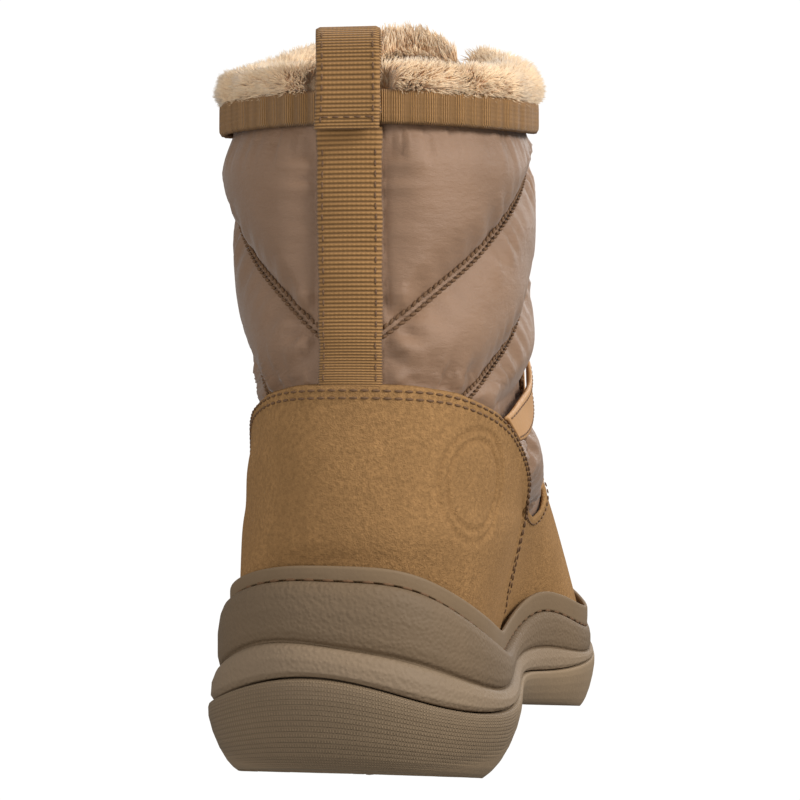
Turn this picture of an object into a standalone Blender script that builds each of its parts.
# Shearling-lined ankle boot for a right foot, standing on its sole.
# Metres, +Z up. The toe points to +Y and the outer side of the foot to +X.

import math

import bmesh
import bpy
import numpy as np
from mathutils import Matrix, Vector

# Sole sizes
SOLE_LENGTH = 0.276
BALL_WIDTH = 0.101
HEEL_WIDTH = 0.080
RIM_HEIGHT = 0.058  # top of the rubber at the back of the heel
SIDE_INSET = 0.0074  # from the widest rubber to the suede, at the heel
HEEL_LIFT = 0.035  # footbed above the floor at the heel
BALL_LIFT = 0.019
HEEL_ROLL = 0.0088  # the tread is this far off the floor at the back of the heel
ARCH_LIFT = 0.009
TOE_SPRING = 0.014
LUG_DEPTH = 0.0045
GROOVE_WIDTH = 0.0060
GROOVE_ANGLE = math.radians(11)
INSOLE_THICKNESS = 0.0045
WELT_STEP = 0.0009

# Upper sizes
COLLAR_HEIGHT = 0.1755
COLLAR_RISE = 0.0115  # the topline climbs this much towards the front
SHAFT_DEPTH = 0.103
SHAFT_WIDTH = 0.0765
SHAFT_SETBACK = 0.0118
WALL = 0.003
PUFF = 0.0028
SEAM_REACH = 0.0085
SUEDE = 0.0016
BAND = 0.0012
TAPE_WIDTH = 0.0160
LOOP_WIDTH = 0.0166
LOOP_HEIGHT = 0.0160  # above the collar edge
BINDING_WIDTH = 0.0072
THROAT_HALF = 0.0115
THROAT_SPREAD = 0.25  # the throat is this much wider at the top
EYELET_RADIUS = 0.0021
EYELET_COUNT = 5
EYELET_REACH = 0.0085
EYESTAY_SETBACK = 0.0012  # from the throat's edge
TONGUE_HALF = 0.0245
TONGUE_THICKNESS = 0.0042
TONGUE_RISE = 0.0105
FUR_TOP = 0.0120  # pile above the collar edge
FUR_SWELL_OUTER = 0.31  # and this share more towards the front
FUR_SWELL_INNER = 0.58
FUR_BULGE = 0.0036
FUR_BULGE_INNER = 0.0020
FUR_DEPTH = 0.0125
FUR_DROP = 0.022
LOCK_HEIGHT = 0.0013
FUR_END = 0.0030  # the roll stops this far from the tongue
LOOP_ROOM = 0.0025

# Fits
GAP = 0.0003
LAYER_GAP = 0.0004
SINK = 0.0010  # the shell lies this much deeper under its panels
TONGUE_GAP = 0.0009
RIM_LEAN = 0.0004
STRAP_LIFT = 0.0012
STRAP_HOLD = 0.0075  # reach of the strap's pull, from its middle
VAMP_GAP = 0.012  # from the suede's edge to the throat, as a share of the climb from sole to collar
CUP_GAP = 0.0011  # between the suede and the rubber cup round it

# Sampling of the faceted solids
AROUND = 64
FUR_AROUND = 44
STATIONS = 16
BACK_COLUMNS = 7  # from the back seam to the tail of the vamp
TAIL_COLUMNS = 2  # along the tail, to the front of the counter
SIDE_COLUMNS = 4  # from there to the eyestay
EYESTAY_COLUMNS = 8
COUNTER_ROWS = 4  # from the rubber to the edge of the counter
TAIL_ROWS = 2  # from there to the upper edge of the vamp
HIGH_ROWS = 9  # from the suede to the collar

# Sole stations, from the back round the outer side to the toe and back along the inner side.
# along is a share of SOLE_LENGTH, heel and ball are shares of HEEL_WIDTH and BALL_WIDTH,
# line to rim are heights as shares of RIM_HEIGHT, and inset is a share of SIDE_INSET.
SOLE_COLUMNS = ("along", "heel", "ball", "line", "step", "groove", "rim", "inset")
SOLE_STATIONS = (
    (0.000, -0.025, 0.000, 0.519, 0.655, 0.931, 1.000, 1.00),  # back
    (0.029, 0.288, 0.000, 0.403, 0.560, 0.865, 0.941, 1.00),  # outer heel corner
    (0.159, 0.475, 0.000, 0.305, 0.393, 0.603, 0.700, 1.00),  # outer heel side
    (0.362, 0.220, 0.173, 0.314, 0.390, 0.476, 0.572, 0.85),  # outer waist
    (0.489, 0.100, 0.320, 0.264, 0.384, 0.567, 0.671, 0.70),  # outer shank
    (0.609, 0.000, 0.490, 0.259, 0.300, 0.431, 0.543, 0.52),  # outer ball
    (0.826, 0.000, 0.396, 0.284, 0.328, 0.448, 0.552, 0.58),  # outer toe side
    (0.957, 0.000, 0.188, 0.345, 0.414, 0.560, 0.672, 0.70),  # outer toe corner
    (1.000, 0.000, -0.079, 0.379, 0.466, 0.621, 0.741, 0.75),  # toe tip
    (0.964, 0.000, -0.317, 0.345, 0.414, 0.560, 0.672, 0.70),  # inner toe corner
    (0.848, 0.000, -0.465, 0.284, 0.328, 0.448, 0.552, 0.60),  # inner toe side
    (0.681, 0.000, -0.505, 0.262, 0.304, 0.440, 0.545, 0.55),  # inner ball
    (0.530, -0.100, -0.300, 0.270, 0.380, 0.560, 0.660, 0.70),  # inner shank
    (0.400, -0.220, -0.124, 0.320, 0.400, 0.500, 0.600, 0.85),  # inner waist
    (0.159, -0.525, 0.000, 0.310, 0.440, 0.707, 0.790, 1.00),  # inner heel side
    (0.029, -0.338, 0.000, 0.469, 0.643, 0.902, 0.967, 1.00),  # inner heel corner
)

# Underside of the sole: share of SOLE_LENGTH, then shares of HEEL_ROLL, ARCH_LIFT and TOE_SPRING.
TREAD_ROWS = (
    (0.000, 1.00, 0.00, 0.00),
    (0.040, 0.74, 0.00, 0.00),
    (0.109, 0.26, 0.00, 0.00),
    (0.148, 0.00, 0.00, 0.00),
    (0.232, 0.00, 0.00, 0.00),
    (0.275, 0.00, 0.46, 0.00),
    (0.330, 0.00, 0.83, 0.00),
    (0.390, 0.00, 1.00, 0.00),
    (0.470, 0.00, 0.68, 0.00),
    (0.540, 0.00, 0.36, 0.00),
    (0.605, 0.00, 0.00, 0.00),
    (0.780, 0.00, 0.00, 0.00),
    (0.880, 0.00, 0.00, 0.28),
    (0.960, 0.00, 0.00, 0.70),
    (1.000, 0.00, 0.00, 1.00),
)

# Rings of the upper above the rim. back_up and front_up climb from rim to collar, back_in is
# a share of SHAFT_SETBACK, front_out a share of the way from the shaft's front to the toe.
# The half widths are shares of BALL_WIDTH and SHAFT_WIDTH, outer side then inner side.
# foot and vamp mix the plan shapes, the rest is the shaft's oval, and climb bends the ring.
RING_COLUMNS = (
    "back_up", "back_in", "front_up", "front_out", "ball_out", "ball_in",
    "shaft_out", "shaft_in", "foot", "vamp", "climb",
)
RINGS = (
    (0.050, 0.77, 0.050, 0.964, 0.396, 0.402, 0.000, 0.000, 0.90, 0.10, 1.0),
    (0.118, 0.75, 0.117, 0.880, 0.384, 0.374, 0.000, 0.000, 0.50, 0.50, 1.0),
    (0.194, 0.79, 0.163, 0.724, 0.377, 0.354, 0.000, 0.000, 0.15, 0.85, 1.0),
    (0.270, 0.86, 0.209, 0.555, 0.368, 0.326, 0.000, 0.000, 0.00, 1.00, 1.0),
    (0.346, 0.94, 0.270, 0.400, 0.360, 0.313, 0.000, 0.000, 0.00, 0.85, 1.0),
    (0.430, 1.00, 0.355, 0.256, 0.000, 0.000, 0.470, 0.428, 0.00, 0.50, 1.0),
    (0.540, 1.02, 0.475, 0.133, 0.000, 0.000, 0.482, 0.454, 0.00, 0.20, 1.1),
    (0.684, 1.00, 0.624, 0.058, 0.000, 0.000, 0.488, 0.480, 0.00, 0.00, 1.4),
    (0.835, 0.98, 0.794, 0.019, 0.000, 0.000, 0.502, 0.510, 0.00, 0.00, 1.9),
    (1.000, 0.96, 1.000, 0.000, 0.000, 0.000, 0.506, 0.512, 0.00, 0.00, 2.4),
)

# Plan shapes of the rings at the stations between back and front: along, then across.
SHAPE_COLUMNS = ("foot_along", "foot_across", "vamp_along", "vamp_across", "oval_along", "oval_across")
SHAPES = (
    (0.000, 0.00, 0.000, 0.00, 0.000, 0.00),
    (0.030, 0.50, 0.040, 0.56, 0.035, 0.40),
    (0.160, 0.82, 0.180, 0.92, 0.140, 0.74),
    (0.360, 0.80, 0.370, 1.00, 0.300, 0.95),
    (0.490, 0.90, 0.530, 0.98, 0.500, 1.00),
    (0.610, 1.00, 0.690, 0.84, 0.700, 0.93),
    (0.830, 0.84, 0.860, 0.55, 0.860, 0.72),
    (0.956, 0.47, 0.965, 0.26, 0.965, 0.39),
    (1.000, 0.00, 1.000, 0.00, 1.000, 0.00),
)

# Panel edges seen from the side: share of SOLE_LENGTH, share of COLLAR_HEIGHT.
COUNTER_TOP = (
    (0.364, 0.268), (0.352, 0.300), (0.328, 0.343), (0.300, 0.382), (0.268, 0.423),
    (0.225, 0.468), (0.180, 0.508), (0.135, 0.543), (0.085, 0.572), (0.055, 0.584),
)
COUNTER_CROWN = 0.592
VAMP_TOP = ((0.274, 0.424), (0.300, 0.411), (0.344, 0.396), (0.391, 0.373), (0.442, 0.357))
VAMP_CROWN = ((0.442, 0.357), (0.480, 0.366), (0.515, 0.391), (0.545, 0.428))
THROAT_BASE = 0.575
EYESTAY_BACK = (
    (0.353, 1.020), (0.352, 0.880), (0.354, 0.740), (0.361, 0.640),
    (0.378, 0.540), (0.408, 0.452), (0.444, 0.366),
)
STRAP_LOW = ((0.198, 0.497), (0.240, 0.500), (0.300, 0.518), (0.352, 0.552), (0.371, 0.570))
STRAP_HIGH = ((0.155, 0.535), (0.225, 0.560), (0.290, 0.580), (0.330, 0.597), (0.360, 0.622))

# Quilting seams seen from the side, each running up towards the front.
SEAMS = (
    ((0.0445, 0.645), (0.052, 0.676), (0.073, 0.722), (0.109, 0.771), (0.156, 0.829),
     (0.217, 0.887), (0.275, 0.935), (0.320, 0.975)),
    ((0.078, 0.548), (0.135, 0.597), (0.181, 0.638), (0.228, 0.684), (0.272, 0.730),
     (0.312, 0.777), (0.352, 0.830)),
    ((0.262, 0.400), (0.290, 0.464), (0.312, 0.522), (0.335, 0.590), (0.353, 0.650)),
)

# Colours, from the photograph
TAUPE_RUBBER = ((0.158, 0.118, 0.080), 0.62)
TAN_SUEDE = ((0.350, 0.205, 0.095), 0.92)
CLAY_NYLON = ((0.300, 0.190, 0.120), 0.50)
TAN_WEBBING = ((0.290, 0.160, 0.066), 0.70)
TAN_SYNTHETIC = ((0.400, 0.235, 0.110), 0.55)
HONEY_FLEECE = ((0.600, 0.395, 0.225), 0.95)


# Splines

def spline_cage(points, closed):
    """Control points of the uniform cubic B-spline that passes through the points."""
    count = len(points)
    matrix = 4 * np.eye(count) + np.eye(count, k=1) + np.eye(count, k=-1)
    if closed:
        matrix[0, -1] = matrix[-1, 0] = 1
    else:
        matrix[0, :2] = (6, 0)
        matrix[-1, -2:] = (0, 6)
    flat = np.reshape(points, (count, -1))
    return np.linalg.solve(matrix / 6, flat).reshape(np.shape(points))


def spline_weights(where, count, closed):
    """For each parameter, the four cage indices and their weights."""
    first = np.floor(where).astype(int)
    if not closed:
        first = np.clip(first, 0, count - 2)
    f = where - first
    weights = np.stack(
        [(1 - f) ** 3, 3 * f**3 - 6 * f**2 + 4, -3 * f**3 + 3 * f**2 + 3 * f + 1, f**3], -1
    ) / 6
    return first[..., None] + np.arange(-1, 3), weights


def padded(cage):
    """The open cage with one straight-on point added at each end."""
    return np.concatenate([[2 * cage[0] - cage[1]], cage, [2 * cage[-1] - cage[-2]]])


def closed_curve(points, where):
    cage = spline_cage(np.asarray(points, float), True)
    index, weights = spline_weights(np.asarray(where, float), len(cage), True)
    return np.einsum("...k,...kd->...d", weights, cage[index % len(cage)])


def open_curve(points, share):
    points = np.asarray(points, float)
    cage = padded(spline_cage(points, False))
    index, weights = spline_weights(np.asarray(share, float) * (len(points) - 1), len(points), False)
    return np.einsum("...k,...kd->...d", weights, cage[index + 1])


# Sole outline

def sole_column(name):
    return np.array([row[SOLE_COLUMNS.index(name)] for row in SOLE_STATIONS])


def outline_points():
    across = sole_column("heel") * HEEL_WIDTH + sole_column("ball") * BALL_WIDTH
    return np.stack([across, sole_column("along") * SOLE_LENGTH], 1)


def sole_outline(where, inset=0.0):
    """Points on the widest line of the sole, moved inwards by inset."""
    where = np.asarray(where, float)
    points = closed_curve(outline_points(), where)
    ahead = closed_curve(outline_points(), where + 0.02) - closed_curve(outline_points(), where - 0.02)
    normal = np.stack([ahead[:, 1], -ahead[:, 0]], 1)
    normal /= np.linalg.norm(normal, axis=1)[:, None]
    return points - normal * np.reshape(np.asarray(inset, float), (-1, 1))


def sole_level(name, where):
    return closed_curve(sole_column(name)[:, None], where)[:, 0] * RIM_HEIGHT


def side_inset(where):
    return closed_curve(sole_column("inset")[:, None], where)[:, 0] * SIDE_INSET


def row_curve(rows, y):
    """Values of the rows at a place along the sole."""
    rows = np.array(rows)
    along = np.asarray(y) / SOLE_LENGTH
    return [np.interp(along, rows[:, 0], rows[:, i]) for i in range(1, rows.shape[1])]


def tread_level(y):
    heel, arch, toe = row_curve(TREAD_ROWS, y)
    return heel * HEEL_ROLL + arch * ARCH_LIFT + toe * TOE_SPRING


# Floor of the cup in the midsole: share of SOLE_LENGTH, of the heel's drop and of TOE_SPRING.
BED_ROWS = (
    (0.00, 1.00, 0.00),
    (0.10, 0.96, 0.00),
    (0.25, 0.70, 0.00),
    (0.36, 0.45, 0.00),
    (0.45, 0.30, 0.00),
    (0.62, 0.02, 0.00),
    (0.75, 0.00, 0.05),
    (0.90, 0.00, 0.30),
    (1.00, 0.00, 0.50),
)


def bed_level(where):
    """The floor of the cup: high at the heel, low at the ball, up at the toe."""
    heel, toe = row_curve(BED_ROWS, outline_points()[:, 1])
    level = BALL_LIFT + heel * (HEEL_LIFT - BALL_LIFT) + toe * TOE_SPRING
    return closed_curve(level[:, None], where)[:, 0]


# Upper surface

def upper_inset(where):
    return side_inset(where) + SUEDE + LAYER_GAP + CUP_GAP


def station_ring(row):
    """The sixteen stations of one ring of the upper."""
    value = dict(zip(RING_COLUMNS, row))
    shape = {name: np.array([r[i] for r in SHAPES]) for i, name in enumerate(SHAPE_COLUMNS)}
    oval = 1 - value["foot"] - value["vamp"]
    along = sum(
        share * shape[kind + "_along"]
        for share, kind in ((value["foot"], "foot"), (value["vamp"], "vamp"), (oval, "oval"))
    )
    across = sum(
        share * shape[kind + "_across"]
        for share, kind in ((value["foot"], "foot"), (value["vamp"], "vamp"), (oval, "oval"))
    )
    order = list(range(9)) + list(range(7, 0, -1))
    along, across = along[order], across[order]
    outer = value["ball_out"] * BALL_WIDTH + value["shaft_out"] * SHAFT_WIDTH
    inner = value["ball_in"] * BALL_WIDTH + value["shaft_in"] * SHAFT_WIDTH
    half = np.where(np.arange(STATIONS) <= 8, outer, -inner)
    toe_rim = sole_column("rim")[8] * RIM_HEIGHT
    toe = SOLE_LENGTH - upper_inset(np.array([8.0]))[0]
    shaft_front = SHAFT_SETBACK + SHAFT_DEPTH
    back_y = value["back_in"] * SHAFT_SETBACK
    front_y = shaft_front + value["front_out"] * (toe - shaft_front)
    back_z = RIM_HEIGHT + value["back_up"] * (COLLAR_HEIGHT - RIM_HEIGHT)
    front_z = toe_rim + value["front_up"] * (COLLAR_HEIGHT + COLLAR_RISE - toe_rim)
    centre = sole_column("ball")[8] * BALL_WIDTH * value["foot"] * along**2
    return np.stack(
        [
            half * across + centre,
            back_y + along * (front_y - back_y),
            back_z + along ** value["climb"] * (front_z - back_z),
        ],
        1,
    )


def surface_cage():
    where = np.arange(STATIONS, dtype=float)
    rim = sole_level("rim", where)
    floor = bed_level(where) + CUP_GAP
    rings = []
    for share in (0.0, 0.5, 1.0):
        flat = sole_outline(where, upper_inset(where) + RIM_LEAN * share**2)
        rings.append(np.column_stack([flat, floor + share * (rim - floor)]))
    rings += [station_ring(row) for row in RINGS]
    rings = np.array(rings)
    up = spline_cage(rings, False)
    return np.array([spline_cage(ring, True) for ring in up])


CAGE = surface_cage()
RING_COUNT = len(CAGE)
CUP = 2 / (RING_COUNT - 1)  # the t of the rubber's rim


def surface(s, t):
    """A point of the upper's outer form: s goes once round from the back, t climbs from 0 to 1."""
    s, t = np.broadcast_arrays(np.asarray(s, float), np.asarray(t, float))
    cage = padded(CAGE)
    rows, row_weights = spline_weights(t * (RING_COUNT - 1), RING_COUNT, False)
    columns, column_weights = spline_weights(s * STATIONS, STATIONS, True)
    net = cage[(rows + 1)[..., :, None], (columns % STATIONS)[..., None, :]]
    return np.einsum("...r,...c,...rcd->...d", row_weights, column_weights, net)


def surface_normal(s, t):
    """Outward direction. Inside the rubber it is the one at the rim."""
    step = 0.002
    t = np.maximum(t, CUP)
    around = surface(s + step, t) - surface(s - step, t)
    up = surface(s, t + step) - surface(s, t - step)
    normal = np.cross(around, up)
    return normal / np.linalg.norm(normal, axis=-1)[..., None]


def locate(y, z, side):
    """The (s, t) of the place that has this y and z on one side of the boot."""
    low_s, high_s, low_t, high_t = 0.0, 0.5, 0.0, 1.05
    for _ in range(9):
        s, t = np.meshgrid(np.linspace(low_s, high_s, 21), np.linspace(low_t, high_t, 21))
        p = surface(side * s, t)
        nearest = np.argmin((p[..., 1] - y) ** 2 + (p[..., 2] - z) ** 2)
        s, t = s.flat[nearest], t.flat[nearest]
        reach_s, reach_t = 0.15 * (high_s - low_s), 0.15 * (high_t - low_t)
        low_s, high_s = max(0.0, s - reach_s), min(0.5, s + reach_s)
        low_t, high_t = max(0.0, t - reach_t), min(1.05, t + reach_t)
    return side * s, t


edges_found = {}


def side_edge(rows, side):
    """The (s, t) points of an edge given in shares of the sole's length and collar's height."""
    if (rows, side) not in edges_found:
        places = [locate(a * SOLE_LENGTH, b * COLLAR_HEIGHT, side) for a, b in rows]
        edges_found[rows, side] = np.array(places)
    return edges_found[rows, side]


def s_at_half_width(x, t, side, back=False):
    """Where the surface is x from the centre line, on the front or on the back."""
    s = np.linspace(0.0, 0.12, 121) if back else np.linspace(0.5, 0.34, 161)
    across = np.abs(surface(side * s, t)[..., 0] - surface(side * s[0], t)[..., 0])
    return side * np.interp(x, across, s)


def t_at_height(z, s):
    t = np.linspace(0.1, 1.05, 400)
    return np.interp(z, surface(s, t)[..., 2], t)


def throat_start():
    """The t of the throat's lower end on the centre line."""
    t = np.linspace(0.2, 0.95, 400)
    return float(np.interp(-THROAT_BASE * SOLE_LENGTH, -surface(0.5, t)[:, 1], t))


THROAT_LOW = throat_start()
TOE_SHARE = 0.7
SEAM_SHARE = 0.0012  # gap between counter and vamp, as a share of the way round


# Padding between the quilting seams

def distance_to_line(points, line):
    """Shortest distance from each point to a line of points."""
    a, b = line[:-1], line[1:]
    ab = b - a
    ap = points[..., None, :] - a
    share = np.clip((ap * ab).sum(-1) / (ab * ab).sum(-1), 0, 1)
    return np.linalg.norm(ap - share[..., None] * ab, axis=-1).min(-1)


def on_surface(edge, count=40):
    st = open_curve(edge, np.linspace(0, 1, count))
    return surface(st[:, 0], st[:, 1])


def covered_lines(side):
    """Edges and seams where the padding is held down, as lines of points."""
    lines = [on_surface(side_edge(rows, side)) for rows in SEAMS]
    for rows in (COUNTER_TOP, VAMP_TOP, EYESTAY_BACK):
        lines.append(on_surface(side_edge(rows, side)))
    tape = np.linspace(0.5, 1.0, 30)
    edge_s = np.array([s_at_half_width(TAPE_WIDTH / 2, t, side, back=True) for t in tape])
    lines.append(surface(edge_s, tape))
    around = np.linspace(0.0, 0.5, 50) * side
    lines.append(surface(around, binding_start(around)))
    return lines


def binding_start(s):
    top = surface(s, np.ones_like(s))[..., 2]
    return np.array([t_at_height(z - BINDING_WIDTH, one) for z, one in zip(top, s)])


def counter_edge_height(s, side):
    """The t of the counter's edge, carried on under the vamp to the middle of the toe."""
    crown = side_edge(((0.0, COUNTER_CROWN),), 1)[0, 1]
    edge = side_edge(COUNTER_TOP, side)[::-1]
    stations = np.concatenate([[0.0], np.abs(edge[:, 0]), [0.5]])
    levels = np.concatenate([[crown], edge[:, 1], [TOE_SHARE * THROAT_LOW]])
    return np.interp(np.abs(s), stations, levels)


def vamp_edge_height(s, side):
    edge = side_edge(VAMP_TOP + VAMP_CROWN[1:], side)
    stations = np.concatenate([np.abs(edge[:, 0]), [0.5]])
    levels = np.concatenate([edge[:, 1], [THROAT_LOW - VAMP_GAP]])
    return np.interp(np.abs(s), stations, levels, left=0.0)


def suede_height(s, side):
    """The t where the suede of counter and vamp ends above each s of one side."""
    return np.maximum(counter_edge_height(s, side), vamp_edge_height(s, side))


def counter_front(side):
    return abs(side_edge(COUNTER_TOP[:1], side)[0, 0])


def vamp_tail(side):
    return abs(side_edge(VAMP_TOP[:1], side)[0, 0])


def eyestay_back(t, side):
    edge = side_edge(EYESTAY_BACK, side)[::-1]
    return np.interp(t, edge[:, 1], np.abs(edge[:, 0]))


def above_suede(s, up, side):
    """The t a share of the way from just above the suede to the collar, by way of the binding."""
    low = suede_height(s, side) + VAMP_GAP
    bind = binding_start(np.asarray(s) * side)
    share = HIGH_ROWS / (HIGH_ROWS + 1)
    lower = low + (bind - low) * min(up / share, 1.0)
    return lower + (1 - bind) * max((up - share) / (1 - share), 0.0)


def row_stations(up, side):
    """For one row above the suede: |s| at the eyestay's back edge and at the throat."""
    front = above_suede(np.array([0.5]), up, side)[0]
    half = throat_half(front)
    throat = abs(s_at_half_width(half, front, side)) if half > 0 else 0.5
    edge = 0.36
    for _ in range(6):
        edge = eyestay_back(above_suede(np.array([edge]), up, side)[0], side)
    return float(edge), throat


def upper_columns(up, side):
    """The |s| of the columns of one row, from the back seam to the throat."""
    edge, throat = row_stations(up, side)
    first, _ = row_stations(0.0, side)
    tail, front = vamp_tail(side), counter_front(side)
    back = np.linspace(0, tail, BACK_COLUMNS + 1)
    along_tail = np.linspace(tail, front, TAIL_COLUMNS + 1)[1:]
    sides = np.linspace(front, first, SIDE_COLUMNS + 1)[1:]
    behind = np.concatenate([back, along_tail, sides]) * edge / first
    return np.concatenate([behind, np.linspace(edge, throat, EYESTAY_COLUMNS + 1)[1:]])


def low_rows(s, side):
    """Heights of the rows inside the rubber, up to the counter's edge and up to the vamp's."""
    seam = counter_edge_height(s, side)
    top = suede_height(s, side) + VAMP_GAP
    first = np.linspace(0, 1, COUNTER_ROWS + 1)[:, None]
    second = np.linspace(0, 1, TAIL_ROWS + 1)[1:, None]
    inside = np.broadcast_to([[0.0], [CUP / 2]], (2, len(s)))
    return np.concatenate([inside, CUP + first * (seam - CUP), seam + second * (top - seam)])


def paired(s, rows):
    """Columns of (s, t) points, from one s and the heights of all rows in each column."""
    return np.stack([np.broadcast_to(s, rows.shape), rows], -1).transpose(1, 0, 2)


def high_rows():
    return np.linspace(0, 1, HIGH_ROWS + 2)


def whole_row(one_side):
    """Joins the outer and inner halves of a row, throat to back to throat."""
    outer, inner = one_side(1), one_side(-1)
    return np.concatenate([outer[::-1], inner[1:]])


def upper_grid():
    """The (s, t) of every point of the upper's grid, and the row where the throat opens."""
    def low(side):
        s = upper_columns(0.0, side)
        return paired(side * s, low_rows(s, side))

    rows = list(whole_row(low).transpose(1, 0, 2)[:-1])
    opens = len(rows)
    for up in high_rows():
        def high(side):
            s = upper_columns(up, side)
            return np.column_stack([side * s, above_suede(s, up, side)])
        rows.append(whole_row(high))
    return np.array(rows), opens


def padding(s, t):
    """How far the quilted nylon stands out: sunk under panels, flat at seams, most between them."""
    s = (s + 0.5) % 1.0 - 0.5
    points = surface(s, t)
    amount = np.full(s.shape, -SINK)
    for side in (1, -1):
        here = (s * side >= 0) & (s * side <= 0.5)
        p = points[here]
        away = np.min([distance_to_line(p, line) for line in covered_lines(side)], axis=0)
        away = np.minimum(away, np.maximum(distance_to_line(p, strap_middle(side)) - STRAP_HOLD, 0))
        rise = 1 - np.exp(-((away / SEAM_REACH) ** 2) * 1.6)
        free = t[here] > suede_height(s[here], side) + VAMP_GAP * 1.01
        free &= np.abs(s[here]) < eyestay_back(t[here], side) - 0.001
        tape_s = np.abs(s_at_half_width(TAPE_WIDTH / 2, 0.8, side, back=True))
        free &= np.abs(s[here]) > tape_s
        free &= t[here] < binding_start(s[here]) - 0.001
        amount[here] = np.where(free, rise * PUFF, -SINK)
    return amount


def strap_middle(side):
    low, high = side_edge(STRAP_LOW, side), side_edge(STRAP_HIGH, side)
    return on_surface((low + high) / 2)


# Meshes

def make_object(name, points, faces, look):
    mesh = bpy.data.meshes.new(name)
    mesh.from_pydata([tuple(map(float, p)) for p in points], [], faces)
    work = bmesh.new()
    work.from_mesh(mesh)
    bmesh.ops.remove_doubles(work, verts=work.verts, dist=1e-6)
    loose = [v for v in work.verts if not v.link_faces]
    bmesh.ops.delete(work, geom=loose, context="VERTS")
    bmesh.ops.triangulate(work, faces=work.faces)
    bmesh.ops.recalc_face_normals(work, faces=work.faces)
    work.to_mesh(mesh)
    work.free()
    mesh.shade_smooth()
    mesh.set_sharp_from_angle(angle=math.radians(40))
    part = bpy.data.objects.new(name, mesh)
    parts.objects.link(part)
    part.data.materials.append(material(look))
    return part


def grid_faces(rows, columns, start=0, wrap=False):
    """Quads of a grid whose points are listed row by row."""
    faces = []
    for r in range(rows - 1):
        for c in range(columns if wrap else columns - 1):
            d = (c + 1) % columns
            faces.append(
                (start + r * columns + c, start + r * columns + d,
                 start + (r + 1) * columns + d, start + (r + 1) * columns + c)
            )
    return faces


def shell(name, outer, inner, look, joined=0, present=None):
    """A closed sheet between two grids of points, made of the cells that are present.

    Below row joined the two side edges of the grid are one seam."""
    rows, columns = outer.shape[:2]
    count = rows * columns
    if present is None:
        present = np.ones((rows - 1, columns - 1), bool)
    faces = []
    edges = {}
    for r, c in np.argwhere(present):
        corners = [r * columns + c, r * columns + c + 1, (r + 1) * columns + c + 1, (r + 1) * columns + c]
        faces += [corners, [i + count for i in corners]]
        for a, b in zip(corners, corners[1:] + corners[:1]):
            on_seam = r < joined and a % columns == b % columns and a % columns in (0, columns - 1)
            if not on_seam:
                edges[min(a, b), max(a, b)] = edges.get((min(a, b), max(a, b)), 0) + 1
    faces += [[a, b, b + count, a + count] for (a, b), uses in edges.items() if uses == 1]
    points = np.concatenate([outer.reshape(-1, 3), inner.reshape(-1, 3)])
    return make_object(name, points, faces, look)


def capped_loft(name, rings, look, across=2):
    """Rings of points from bottom to top, closed below and above by ruled strips."""
    rings = np.array(rings)
    levels, columns = rings.shape[:2]
    points = list(rings.reshape(-1, 3))
    faces = grid_faces(levels, columns, wrap=True)
    for level in (0, levels - 1):
        faces += ruled_cap(points, [level * columns + c for c in range(columns)], across)
    return make_object(name, points, faces, look)


def ruled_cap(points, ring, across):
    """Strips that join each outer point of the ring to the inner point across from it."""
    half = len(ring) // 2
    lines = [[ring[0]]]
    for i in range(1, half):
        a, b = ring[i], ring[-i]
        middle = []
        for j in range(1, across):
            middle.append(len(points))
            points.append(points[a] + (points[b] - points[a]) * j / across)
        lines.append([a, *middle, b])
    lines.append([ring[half]])
    faces = []
    for first, second in zip(lines, lines[1:]):
        if len(first) == 1:
            faces += [(first[0], b, c) for b, c in zip(second, second[1:])]
        elif len(second) == 1:
            faces += [(b, c, second[0]) for b, c in zip(first, first[1:])]
        else:
            faces += [
                (first[j], first[j + 1], second[j + 1], second[j]) for j in range(len(first) - 1)
            ]
    return faces


def ring_band(name, rings, look):
    """A closed band: the last ring of points joins the first."""
    rings = np.array(rings)
    levels, columns = rings.shape[:2]
    faces = grid_faces(levels, columns, wrap=True)
    last = (levels - 1) * columns
    for c in range(columns):
        d = (c + 1) % columns
        faces.append((last + c, last + d, d, c))
    return make_object(name, rings.reshape(-1, 3), faces, look)


def coons(bottom, top, left, right, rows, columns):
    """(s, t) grid inside four edges, each a list of (s, t) points."""
    u, v = np.linspace(0, 1, columns), np.linspace(0, 1, rows)
    low, high = open_curve(bottom, u), open_curve(top, u)
    start, end = open_curve(left, v), open_curve(right, v)
    u, v = u[None, :, None], v[:, None, None]
    ruled = (1 - v) * low + v * high + (1 - u) * start[:, None] + u * end[:, None]
    corners = (1 - u) * (1 - v) * low[0] + u * (1 - v) * low[-1]
    return ruled - corners - (1 - u) * v * high[0] - u * v * high[-1]


def panel(name, grid, thickness, look, lift=LAYER_GAP, present=None):
    """A flexible panel that lies on the upper, over a grid of (s, t)."""
    s, t = grid[..., 0], grid[..., 1]
    base, normal = surface(s, t), surface_normal(s, t)
    top, bottom = base + normal * (lift + thickness), base + normal * lift
    return shell(name, top, bottom, look, present=present)


def material(look):
    colour, roughness = look
    name = "finish_%02d_%02d_%02d" % tuple(round(c * 99) for c in colour)
    found = bpy.data.materials.get(name)
    if found:
        return found
    made = bpy.data.materials.new(name)
    made.use_nodes = True
    shader = made.node_tree.nodes["Principled BSDF"]
    shader.inputs["Base Color"].default_value = (*colour, 1.0)
    shader.inputs["Roughness"].default_value = roughness
    shader.inputs["Metallic"].default_value = 0.0
    return made


# Sole pieces

def around_sole():
    return np.arange(AROUND) / AROUND * STATIONS


def sole_ring(inset, height):
    where = around_sole()
    flat = sole_outline(where, inset)
    return np.column_stack([flat, np.broadcast_to(height, len(flat))])


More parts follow.
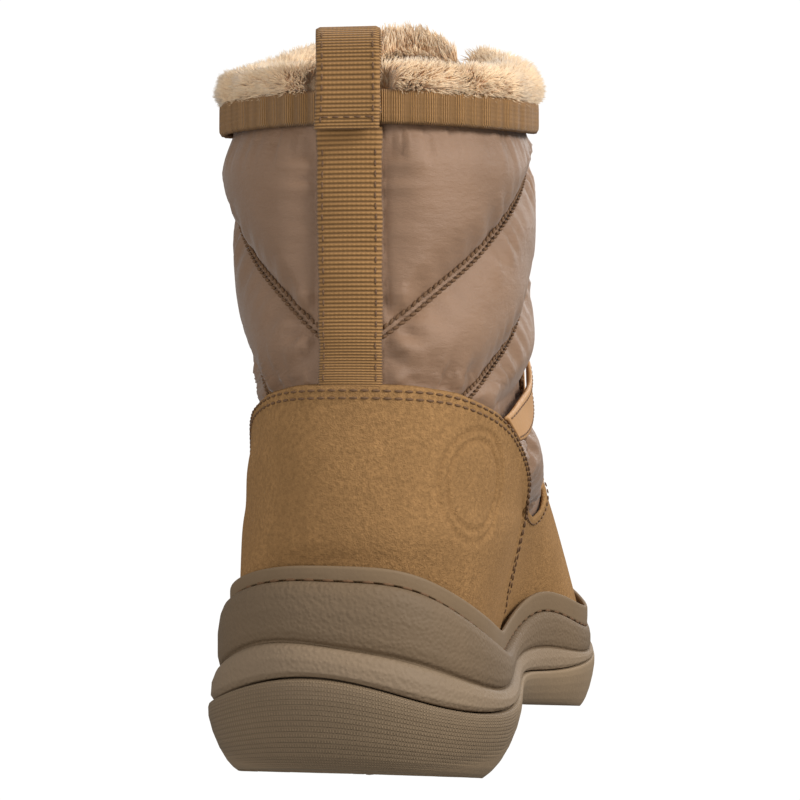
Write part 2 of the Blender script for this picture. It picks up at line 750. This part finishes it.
def put_with_cutters(name, place):
    """The shape just added becomes a cutter, hidden from renders."""
    cutter = bpy.context.object
    cutter.name = name
    cutter.location = place
    for collection in list(cutter.users_collection):
        collection.objects.unlink(cutter)
    cutters.objects.link(cutter)
    cutter.hide_render = True
    cutter.display_type = "WIRE"
    return cutter


def groove(name, y):
    """Chevron cutter across the tread, deepest where the tread is lowest."""
    x = np.array([BALL_WIDTH, 0.0, -BALL_WIDTH])
    middle = y + np.abs(x) * math.tan(GROOVE_ANGLE)
    floor = float(tread_level(y))
    faces = []
    for z in (floor + LUG_DEPTH, -LUG_DEPTH):
        edges = [np.column_stack([x, middle + side * GROOVE_WIDTH / 2, np.full(3, z)]) for side in (1, -1)]
        faces.append(np.array(edges))
    cutter = shell(name, faces[0], faces[1], TAUPE_RUBBER)
    parts.objects.unlink(cutter)
    cutters.objects.link(cutter)
    cutter.hide_render = True
    cutter.display_type = "WIRE"
    return cutter


def outsole():
    """Rubber bottom: flared side wall, bevelled heel, arch, toe spring and lugs."""
    where = around_sole()
    inset, line = side_inset(where), sole_level("line", where)
    edge = sole_outline(where, inset)
    low = tread_level(edge[:, 1])
    rings = [
        sole_ring(inset * 1.05, low),
        sole_ring(inset * 0.72, low + 0.12 * (line - low)),
        sole_ring(inset * 0.46, low + 0.30 * (line - low)),
        sole_ring(inset * 0.02, low + 0.70 * (line - low)),
        sole_ring(inset * 0.08, line - 0.0012),
        sole_ring(inset * 0.22, line),
        sole_ring(inset * 1.1, line),
    ]
    part = capped_loft("outsole", rings, TAUPE_RUBBER)
    rows = [0.075, 0.135, 0.195, 0.250] + [0.545 + 0.052 * i for i in range(8)]
    for number, along in enumerate(rows):
        cut = part.modifiers.new(f"groove_{number}", "BOOLEAN")
        cut.operation = "DIFFERENCE"
        cut.solver = "MANIFOLD"
        cut.object = groove(f"groove_{number}", along * SOLE_LENGTH)
    return part


def midsole():
    """Foam body in two tiers, with the cup that holds the upper."""
    where = around_sole()
    inset = side_inset(where)
    line, step, groove = (sole_level(name, where) for name in ("line", "step", "groove"))
    line = line + GAP
    wall = inset - GAP
    floor = bed_level(where)
    rings = [
        sole_ring(inset * 1.1, line),
        sole_ring(inset * 0.24, line),
        sole_ring(inset * 0.12, line + 0.14 * (step - line)),
        sole_ring(inset * 0.22, line + 0.55 * (step - line)),
        sole_ring(inset * 0.50, step - 0.0004),
        sole_ring(inset * 0.52, step + 0.0006),
        sole_ring(inset * 0.37, step + 0.20 * (groove - step)),
        sole_ring(inset * 0.38, step + 0.55 * (groove - step)),
        sole_ring(inset * 0.56, groove - 0.0020),
        sole_ring(inset * 0.66, groove),
        sole_ring(wall, groove),
        sole_ring(wall, floor),
    ]
    return capped_loft("midsole", rings, TAUPE_RUBBER)


def welt():
    """Rubber rand round the foot of the upper, set back behind the stitched groove."""
    where = around_sole()
    inset = side_inset(where)
    low, rim = sole_level("groove", where) + GAP, sole_level("rim", where)
    inner = inset - GAP
    outer = inset * 0.66 + WELT_STEP
    outer = np.minimum(outer, inner - 0.0012)
    rings = [
        sole_ring(outer, low),
        sole_ring(outer + 0.0002, rim - 0.0008),
        sole_ring(inner, rim),
        sole_ring(inner, low),
    ]
    return ring_band("welt", rings, TAUPE_RUBBER)


def insole():
    where = around_sole()
    inset = upper_inset(where) + WALL + 2 * LAYER_GAP
    floor = bed_level(where) + CUP_GAP
    rings = [
        sole_ring(inset + 0.0004, floor),
        sole_ring(inset + 0.0006, floor + INSOLE_THICKNESS),
    ]
    return capped_loft("insole", rings, HONEY_FLEECE)


# Upper pieces

def throat_half(t):
    """Half width of the throat: closed below its lower end, quickly open above it."""
    opening = np.clip((t - THROAT_LOW) / 0.035, 0, 1)
    climb = np.clip((t - THROAT_LOW) / (1 - THROAT_LOW), 0, 1)
    return THROAT_HALF * np.sqrt(opening) * (1 + THROAT_SPREAD * climb)


def upper():
    """Hollow upper: quilted shaft and lining wall in one, open at collar, throat and underneath."""
    grid, opens = upper_grid()
    s, t = grid[..., 0], grid[..., 1]
    base, normal = surface(s, t), surface_normal(s, t)
    outer = base + normal * padding(s, t)[..., None]
    inner = base - normal * WALL
    return shell("upper", outer, inner, CLAY_NYLON, joined=opens)


def counter():
    """Suede heel piece, from one side of the arch round the back to the other."""
    rows = 2 + COUNTER_ROWS + 1

    def half(side):
        s = upper_columns(0.0, side)[: BACK_COLUMNS + TAIL_COLUMNS + 1]
        return paired(side * s, low_rows(s, side)[:rows])

    return panel("counter", whole_row(half).transpose(1, 0, 2), SUEDE, TAN_SUEDE)


def vamp():
    """Suede round the forefoot, with a tail above the counter on each side."""
    tail_row = 2 + COUNTER_ROWS

    def half(side):
        s = upper_columns(0.0, side)[BACK_COLUMNS:]
        t = low_rows(s, side)
        t[-1] = vamp_edge_height(s, side)
        t[tail_row, : TAIL_COLUMNS + 1] += SEAM_SHARE
        t[tail_row:] = np.maximum(t[tail_row:], t[tail_row])
        s[TAIL_COLUMNS] += SEAM_SHARE
        return paired(side * s, t)

    outer, inner = half(1), half(-1)
    inner[..., 0] += 1.0
    grid = np.concatenate([outer, inner[::-1][1:]]).transpose(1, 0, 2)
    rows, columns = np.indices((grid.shape[0] - 1, grid.shape[1] - 1))
    in_tail = np.minimum(columns, grid.shape[1] - 2 - columns) < TAIL_COLUMNS
    return panel("vamp", grid, SUEDE - GAP, TAN_SUEDE, present=(rows >= tail_row) | ~in_tail)


def eyestay_grid(side):
    rows = []
    for up in high_rows():
        reach = above_suede(np.array([0.5]), up, side)[0]
        throat = abs(s_at_half_width(throat_half(reach) + EYESTAY_SETBACK, reach, side))
        edge, _ = row_stations(up, side)
        s = np.linspace(edge, throat, EYESTAY_COLUMNS + 1)
        rows.append(np.column_stack([side * s, above_suede(s, up, side)]))
    return np.array(rows)


def eyestay(name, side):
    """Smooth band beside the throat, punched with the lace holes."""
    part = panel(name, eyestay_grid(side), BAND, TAN_SYNTHETIC)
    for number, share in enumerate(np.linspace(0.14, 0.90, EYELET_COUNT)):
        t = THROAT_LOW + share * (1 - THROAT_LOW)
        s = s_at_half_width(THROAT_HALF + EYELET_REACH, t, side)
        place, out = surface(s, t), surface_normal(s, t)
        bpy.ops.mesh.primitive_cylinder_add(vertices=8, radius=EYELET_RADIUS, depth=0.012)
        cutter = put_with_cutters(f"{name}_punch_{number}", place)
        cutter.rotation_euler = Vector(out).to_track_quat("Z", "Y").to_euler()
        cut = part.modifiers.new(f"punch_{number}", "BOOLEAN")
        cut.operation = "DIFFERENCE"
        cut.solver = "EXACT"
        cut.object = cutter
    return part


def strap(name, side):
    """Band from the counter forward and up to the eyestay."""
    low, high = side_edge(STRAP_LOW, side), side_edge(STRAP_HIGH, side)
    left, right = np.linspace(low[0], high[0], 3), np.linspace(low[-1], high[-1], 3)
    grid = coons(low, high, left, right, 3, 9)
    return panel(name, grid, BAND, TAN_SYNTHETIC, lift=STRAP_LIFT)


def collar_binding():
    top = np.linspace(0, 1, 37)
    ends = [s_at_half_width(THROAT_HALF * 1.25 + 0.0305, 1.0, side) for side in (1, -1)]
    s = ends[0] + (ends[1] - ends[0]) * top
    rows = np.linspace(0, 1, 2)[:, None]
    low = binding_start(s)
    t = low + rows * (1.0 - low)
    grid = np.stack([np.broadcast_to(s, t.shape), t], -1)
    return panel("collar_binding", grid, BAND, TAN_WEBBING)


def back_tape():
    low = locate(0.0, COUNTER_CROWN * COLLAR_HEIGHT, 1)[1] + 0.006
    high = binding_start(np.array([0.0]))[0] - 0.004
    levels = np.linspace(low, high, 9)
    share = np.linspace(1, -1, 4)
    half = np.array([s_at_half_width(TAPE_WIDTH / 2, t, 1, back=True) for t in levels])
    s = half[:, None] * share[None, :]
    t = np.broadcast_to(levels[:, None], s.shape)
    return panel("back_tape", np.stack([s, t], -1), BAND, TAN_WEBBING)


def loop_path():
    """Side view of the pull loop: up outside the binding, over, and down outside it again."""
    edge, low = surface(0.0, 1.0), surface(0.0, binding_start(np.array([0.0]))[0])
    lift = 2 * LAYER_GAP + BAND * 1.5
    reach = lift + BAND + LAYER_GAP
    top = edge[2] + LOOP_HEIGHT
    rows = [
        (low[1] - reach, low[2] - 0.002),
        (edge[1] - reach, edge[2] - 0.002),
        (edge[1] - reach - 0.0002, edge[2] + 0.45 * LOOP_HEIGHT),
        (edge[1] - reach + 0.0004, top - 0.0026),
        (edge[1] - lift + 0.0016, top),
        (edge[1] - lift + 0.0046, top - 0.0030),
        (edge[1] - lift + 0.0032, edge[2] + 0.45 * LOOP_HEIGHT),
        (edge[1] - lift, edge[2] + 0.001),
        (low[1] - lift, low[2] + 0.002),
    ]
    return open_curve(rows, np.linspace(0, 1, 29))


def pull_loop():
    path = loop_path()
    ahead = np.gradient(path, axis=0)
    normal = np.stack([-ahead[:, 1], ahead[:, 0]], 1)
    normal /= np.linalg.norm(normal, axis=1)[:, None]
    middle = surface(0.0, 1.0)[0]
    x = np.linspace(LOOP_WIDTH / 2, -LOOP_WIDTH / 2, 2)

    def sheet(lift):
        yz = path + normal * lift
        grid = np.zeros((len(path), len(x), 3))
        grid[..., 0] = middle + x[None, :]
        grid[..., 1:] = yz[:, None, :]
        return grid

    return shell("pull_loop", sheet(BAND / 2), sheet(-BAND / 2), TAN_WEBBING)


def tongue_grid(rows, columns, half, low, high):
    levels = np.linspace(low, high, rows)
    share = np.linspace(1, -1, columns)
    s = np.empty((rows, columns))
    for r, t in enumerate(levels):
        edge = s_at_half_width(half, min(t, 1.0), 1)
        s[r] = 0.5 - (0.5 - edge) * share
    return s, np.broadcast_to(levels[:, None], s.shape)


def raised(s, t, lift):
    """A point above or below the collar edge: beyond it the surface goes straight on."""
    inside = np.minimum(t, 1.0)
    base, normal = surface(s, inside), surface_normal(s, inside)
    up = (surface(s, np.ones_like(t)) - surface(s, np.full_like(t, 0.97))) / 0.03
    return base + up * np.maximum(t - 1.0, 0)[..., None] + normal * np.asarray(lift)[..., None]


def rise_in_t(height):
    step = surface(0.5, 1.0)[2] - surface(0.5, 0.97)[2]
    return height / (step / 0.03)


def tongue():
    """Padded tongue behind the throat, standing above the collar at the front."""
    s, t = tongue_grid(10, 7, TONGUE_HALF, THROAT_LOW - 0.05, 1 + rise_in_t(TONGUE_RISE))
    edge = np.abs(np.linspace(1, -1, s.shape[1]))[None, :]
    crown = 1 - 0.25 * (edge**4)
    t = np.where(t > 1, 1 + (t - 1) * (1 - 0.35 * edge**3), t)
    outer = raised(s, t, np.full(s.shape, -(WALL + TONGUE_GAP)))
    inner = raised(s, t, -(WALL + TONGUE_GAP + TONGUE_THICKNESS * crown))
    return shell("tongue", outer, inner, CLAY_NYLON)


# Fleece

def lock_pattern(rows, columns):
    """Heights of the locks: pointed tufts, each row set half a lock on from the last."""
    r, c = np.meshgrid(np.arange(rows), np.arange(columns), indexing="ij")
    tuft = ((c + 2 * (r % 2)) % 4 < 2).astype(float)
    sway = 0.5 + 0.5 * np.sin(c * 1.7 + r * 2.3) * np.cos(c * 0.61 - r)
    return tuft * (0.55 + 0.45 * sway)


# Section of the fleece roll: outwards and up from the collar's edge, as shares of FUR_BULGE
# (or, where negative, of FUR_DEPTH) and of FUR_TOP (or, where negative, of FUR_DROP).
FUR_COLUMNS = ("out", "up", "lock")
FUR_SECTION = (
    (0.00, -1.00, 0.0),
    (0.00, -0.45, 0.0),
    (0.00, 0.06, 0.0),
    (0.35, 0.06, 0.0),
    (1.00, 0.24, 0.5),
    (0.95, 0.60, 1.0),
    (0.20, 0.92, 1.0),
    (-0.32, 1.00, 1.0),
    (-0.78, 0.66, 1.0),
    (-1.00, 0.08, 1.0),
    (-1.02, -0.45, 0.8),
    (-0.85, -0.88, 0.4),
)


def fur_collar():
    """Roll of fleece over the collar edge and down inside it, with its locks fused on."""
    ends = [s_at_half_width(TONGUE_HALF + FUR_END, 1.0, side) for side in (1, -1)]
    s = np.linspace(ends[0], ends[1], FUR_AROUND + 1)
    out, up, lock = np.array(FUR_SECTION).T
    across = np.where(out > 0, out * FUR_BULGE, -WALL - LAYER_GAP * 2 + out * FUR_DEPTH)
    across = np.where((out == 0) & (up < 0.5), -WALL - LAYER_GAP * 2, across)
    height = np.where(up > 0, up * FUR_TOP, up * FUR_DROP)
    locks = lock_pattern(len(out), len(s)).T * lock * LOCK_HEIGHT
    middle = np.array([-FUR_DEPTH * 0.4, 0.0])
    away = np.column_stack([across, height]) - middle
    away /= np.linalg.norm(away, axis=1)[:, None]
    forward = np.clip((np.abs(s) - 0.12) / 0.24, 0, 1)[:, None]
    on_inner = s[:, None] < 0
    swell = np.where(on_inner, FUR_SWELL_INNER, FUR_SWELL_OUTER) * forward
    narrow = 1 - np.where(on_inner, 1 - FUR_BULGE_INNER / FUR_BULGE, 0.0) * forward
    across = np.where(across > 0, across * narrow, across) + locks * away[:, 0]
    height = height * np.where(up > 0, 1 + swell, 1.0) + locks * away[:, 1]
    edge = surface(s, np.ones_like(s))
    near_loop = (np.abs(edge[:, 0] - edge[len(s) // 2, 0]) < LOOP_WIDTH / 2 + LOOP_ROOM) & (np.abs(s) < 0.2)
    limit = np.where(near_loop, -(WALL + LAYER_GAP * 2), 1.0)
    across = np.minimum(across, limit[:, None])
    places = np.broadcast_to(s[:, None], across.shape)
    points = raised(places, 1 + rise_in_t(height), across)
    return tube_with_ends("fur_collar", points, HONEY_FLEECE)


def tube_with_ends(name, sections, look):
    """Sections in order along a path, each a closed loop of points, with flat ends."""
    count, size = sections.shape[:2]
    faces = grid_faces(count, size, wrap=True)
    faces.append(tuple(range(size)))
    faces.append(tuple((count - 1) * size + i for i in range(size)))
    return make_object(name, sections.reshape(-1, 3), faces, look)


def tongue_fur():
    """Fleece on the inner face and top edge of the tongue."""
    drop = rise_in_t(FUR_DROP * 1.6)
    top = 1 + rise_in_t(TONGUE_RISE + FUR_TOP * 0.75)
    s, t = tongue_grid(9, 13, TONGUE_HALF - 0.0008, 1 - drop, top)
    edge = np.abs(np.linspace(1, -1, s.shape[1]))[None, :]
    t = np.where(t > 1, 1 + (t - 1) * (1 - 0.35 * edge**3), t)
    back = WALL + TONGUE_GAP + GAP + TONGUE_THICKNESS
    tongue_top = 1 + rise_in_t(TONGUE_RISE) * (1 - 0.35 * edge**3)
    over = np.clip((t - tongue_top - 0.006) / 0.02, 0, 1)
    locks = lock_pattern(*s.shape)
    outer = raised(s, t, -back + over * TONGUE_THICKNESS * 0.7)
    thick = FUR_DEPTH * 0.72 * (1 - 0.45 * edge**4) * (1 - 0.35 * over)
    thick = thick + locks * LOCK_HEIGHT
    inner = raised(s, t, -back - thick)
    return shell("tongue_fur", outer, inner, HONEY_FLEECE)


# Placing

def lowest_and_highest(objects):
    graph = bpy.context.evaluated_depsgraph_get()
    points = []
    for item in objects:
        made = item.evaluated_get(graph)
        points += [made.matrix_world @ v.co for v in made.to_mesh().vertices]
        made.to_mesh_clear()
    points = np.array(points)
    return points.min(0), points.max(0)


def centre_on_floor():
    """Moves everything so that the box round the boot stands centred on the origin."""
    bpy.context.view_layer.update()
    low, high = lowest_and_highest(parts.objects)
    shift = Vector((-(low[0] + high[0]) / 2, -(low[1] + high[1]) / 2, -low[2]))
    for item in bpy.data.objects:
        if item.parent is None:
            item.location = item.location + shift


def build():
    outsole()
    midsole()
    welt()
    insole()
    upper()
    counter()
    vamp()
    for name, side in (("outer", 1), ("inner", -1)):
        strap(f"strap_{name}", side)
        eyestay(f"eyestay_{name}", side)
    collar_binding()
    back_tape()
    pull_loop()
    tongue()
    tongue_fur()
    fur_collar()
    centre_on_floor()


for old in list(bpy.data.objects):
    bpy.data.objects.remove(old, do_unlink=True)
parts = bpy.data.collections.new("ankle_boot")
cutters = bpy.data.collections.new("cutters")
for made in (parts, cutters):
    bpy.context.scene.collection.children.link(made)
build()
